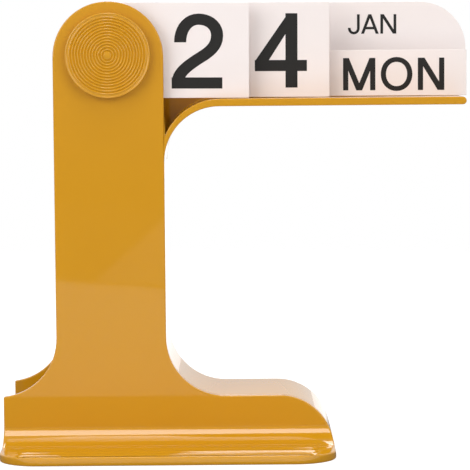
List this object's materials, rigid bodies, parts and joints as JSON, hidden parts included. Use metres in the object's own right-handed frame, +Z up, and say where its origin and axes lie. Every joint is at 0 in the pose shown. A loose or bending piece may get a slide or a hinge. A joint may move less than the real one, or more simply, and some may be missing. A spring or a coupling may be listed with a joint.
{
  "type": "perpetual desk calendar",
  "caption": "Desk calendar whose date, weekday and month cards flip over one pivot from a hollow post onto a shelf, with a flared foot and a pen tray.",
  "frame": {"origin": "on the desk, straight below the pivot of the cards, in the plane of the post's front face", "axes": "+X to the right along the shelf, +Y from the front to the back along the pivot, +Z up"},
  "size_m": [0.1711, 0.08, 0.1635],
  "materials": {
    "mustard_plastic": "glossy moulded mustard plastic",
    "ivory_card": "satin off-white plastic card with dark printing",
    "steel": "plain zinc-plated"
  },
  "bodies": {
    "housing": {"front_panel": "mustard_plastic", "rear_shell": "mustard_plastic", "pivot_sleeve": "steel", "pivot_bolt": "steel", "pivot_nut": "steel", "front_cap": "mustard_plastic", "rear_cap": "mustard_plastic", "end_washers": "steel", "shell_screws": "steel"},
    "tens_1": {"tens_card_1": "ivory_card"},
    "tens_2": {"tens_card_2": "ivory_card"},
    "tens_3": {"tens_card_3": "ivory_card"},
    "units_0": {"units_card_0": "ivory_card"},
    "units_1": {"units_card_1": "ivory_card"},
    "units_2": {"units_card_2": "ivory_card"},
    "units_3": {"units_card_3": "ivory_card"},
    "units_4": {"units_card_4": "ivory_card"},
    "units_5": {"units_card_5": "ivory_card"},
    "units_6": {"units_card_6": "ivory_card"},
    "units_7": {"units_card_7": "ivory_card"},
    "units_8": {"units_card_8": "ivory_card"},
    "units_9": {"units_card_9": "ivory_card"},
    "day_mon": {"day_card_mon": "ivory_card"},
    "day_tue": {"day_card_tue": "ivory_card"},
    "day_wed": {"day_card_wed": "ivory_card"},
    "day_thu": {"day_card_thu": "ivory_card"},
    "day_fri": {"day_card_fri": "ivory_card"},
    "day_sat": {"day_card_sat": "ivory_card"},
    "day_sun": {"day_card_sun": "ivory_card"},
    "month_jan": {"month_card_jan": "ivory_card"},
    "month_feb": {"month_card_feb": "ivory_card"},
    "month_mar": {"month_card_mar": "ivory_card"},
    "month_apr": {"month_card_apr": "ivory_card"},
    "month_may": {"month_card_may": "ivory_card"},
    "month_jun": {"month_card_jun": "ivory_card"},
    "month_jul": {"month_card_jul": "ivory_card"},
    "month_aug": {"month_card_aug": "ivory_card"},
    "month_sep": {"month_card_sep": "ivory_card"},
    "month_oct": {"month_card_oct": "ivory_card"},
    "month_nov": {"month_card_nov": "ivory_card"},
    "month_dec": {"month_card_dec": "ivory_card"}
  },
  "joints": [
    {"name": "tens_1_swing", "type": "hinge", "parent": "housing", "child": "tens_1", "pos_m": [0, 0.004, 0.144], "axis": [0, -1, 0], "range_deg": [-266.45, 2.3]},
    {"name": "tens_2_swing", "type": "hinge", "parent": "housing", "child": "tens_2", "pos_m": [0, 0.0052, 0.144], "axis": [0, -1, 0], "range_deg": [0, 268.75]},
    {"name": "tens_3_swing", "type": "hinge", "parent": "housing", "child": "tens_3", "pos_m": [0, 0.0064, 0.144], "axis": [0, -1, 0], "range_deg": [-266.45, 2.3]},
    {"name": "units_0_swing", "type": "hinge", "parent": "housing", "child": "units_0", "pos_m": [0, 0.0076, 0.144], "axis": [0, -1, 0], "range_deg": [-267.75, 0.8]},
    {"name": "units_1_swing", "type": "hinge", "parent": "housing", "child": "units_1", "pos_m": [0, 0.0088, 0.144], "axis": [0, -1, 0], "range_deg": [-267.75, 0.8]},
    {"name": "units_2_swing", "type": "hinge", "parent": "housing", "child": "units_2", "pos_m": [0, 0.01, 0.144], "axis": [0, -1, 0], "range_deg": [-267.75, 0.8]},
    {"name": "units_3_swing", "type": "hinge", "parent": "housing", "child": "units_3", "pos_m": [0, 0.0112, 0.144], "axis": [0, -1, 0], "range_deg": [-267.75, 0.8]},
    {"name": "units_4_swing", "type": "hinge", "parent": "housing", "child": "units_4", "pos_m": [0, 0.0124, 0.144], "axis": [0, -1, 0], "range_deg": [0, 268.55]},
    {"name": "units_5_swing", "type": "hinge", "parent": "housing", "child": "units_5", "pos_m": [0, 0.0136, 0.144], "axis": [0, -1, 0], "range_deg": [-267.75, 0.8]},
    {"name": "units_6_swing", "type": "hinge", "parent": "housing", "child": "units_6", "pos_m": [0, 0.0148, 0.144], "axis": [0, -1, 0], "range_deg": [-267.75, 0.8]},
    {"name": "units_7_swing", "type": "hinge", "parent": "housing", "child": "units_7", "pos_m": [0, 0.016, 0.144], "axis": [0, -1, 0], "range_deg": [-267.75, 0.8]},
    {"name": "units_8_swing", "type": "hinge", "parent": "housing", "child": "units_8", "pos_m": [0, 0.0172, 0.144], "axis": [0, -1, 0], "range_deg": [-267.75, 0.8]},
    {"name": "units_9_swing", "type": "hinge", "parent": "housing", "child": "units_9", "pos_m": [0, 0.0184, 0.144], "axis": [0, -1, 0], "range_deg": [-267.75, 0.8]},
    {"name": "day_mon_swing", "type": "hinge", "parent": "housing", "child": "day_mon", "pos_m": [0, 0.0196, 0.144], "axis": [0, -1, 0], "range_deg": [0, 278.82]},
    {"name": "day_tue_swing", "type": "hinge", "parent": "housing", "child": "day_tue", "pos_m": [0, 0.0208, 0.144], "axis": [0, -1, 0], "range_deg": [-275.62, 3.2]},
    {"name": "day_wed_swing", "type": "hinge", "parent": "housing", "child": "day_wed", "pos_m": [0, 0.022, 0.144], "axis": [0, -1, 0], "range_deg": [-275.62, 3.2]},
    {"name": "day_thu_swing", "type": "hinge", "parent": "housing", "child": "day_thu", "pos_m": [0, 0.0232, 0.144], "axis": [0, -1, 0], "range_deg": [-275.62, 3.2]},
    {"name": "day_fri_swing", "type": "hinge", "parent": "housing", "child": "day_fri", "pos_m": [0, 0.0244, 0.144], "axis": [0, -1, 0], "range_deg": [-275.62, 3.2]},
    {"name": "day_sat_swing", "type": "hinge", "parent": "housing", "child": "day_sat", "pos_m": [0, 0.0256, 0.144], "axis": [0, -1, 0], "range_deg": [-275.62, 3.2]},
    {"name": "day_sun_swing", "type": "hinge", "parent": "housing", "child": "day_sun", "pos_m": [0, 0.0268, 0.144], "axis": [0, -1, 0], "range_deg": [-275.62, 3.2]},
    {"name": "month_jan_swing", "type": "hinge", "parent": "housing", "child": "month_jan", "pos_m": [0, 0.028, 0.144], "axis": [0, -1, 0], "range_deg": [0, 268.65]},
    {"name": "month_feb_swing", "type": "hinge", "parent": "housing", "child": "month_feb", "pos_m": [0, 0.0292, 0.144], "axis": [0, -1, 0], "range_deg": [-268.65, 0]},
    {"name": "month_mar_swing", "type": "hinge", "parent": "housing", "child": "month_mar", "pos_m": [0, 0.0304, 0.144], "axis": [0, -1, 0], "range_deg": [-268.65, 0]},
    {"name": "month_apr_swing", "type": "hinge", "parent": "housing", "child": "month_apr", "pos_m": [0, 0.0316, 0.144], "axis": [0, -1, 0], "range_deg": [-268.65, 0]},
    {"name": "month_may_swing", "type": "hinge", "parent": "housing", "child": "month_may", "pos_m": [0, 0.0328, 0.144], "axis": [0, -1, 0], "range_deg": [-268.65, 0]},
    {"name": "month_jun_swing", "type": "hinge", "parent": "housing", "child": "month_jun", "pos_m": [0, 0.034, 0.144], "axis": [0, -1, 0], "range_deg": [-268.65, 0]},
    {"name": "month_jul_swing", "type": "hinge", "parent": "housing", "child": "month_jul", "pos_m": [0, 0.0352, 0.144], "axis": [0, -1, 0], "range_deg": [-268.65, 0]},
    {"name": "month_aug_swing", "type": "hinge", "parent": "housing", "child": "month_aug", "pos_m": [0, 0.0364, 0.144], "axis": [0, -1, 0], "range_deg": [-268.65, 0]},
    {"name": "month_sep_swing", "type": "hinge", "parent": "housing", "child": "month_sep", "pos_m": [0, 0.0376, 0.144], "axis": [0, -1, 0], "range_deg": [-268.65, 0]},
    {"name": "month_oct_swing", "type": "hinge", "parent": "housing", "child": "month_oct", "pos_m": [0, 0.0388, 0.144], "axis": [0, -1, 0], "range_deg": [-268.65, 0]},
    {"name": "month_nov_swing", "type": "hinge", "parent": "housing", "child": "month_nov", "pos_m": [0, 0.04, 0.144], "axis": [0, -1, 0], "range_deg": [-268.65, 0]},
    {"name": "month_dec_swing", "type": "hinge", "parent": "housing", "child": "month_dec", "pos_m": [0, 0.0412, 0.144], "axis": [0, -1, 0], "range_deg": [-268.65, 0]}
  ]
}
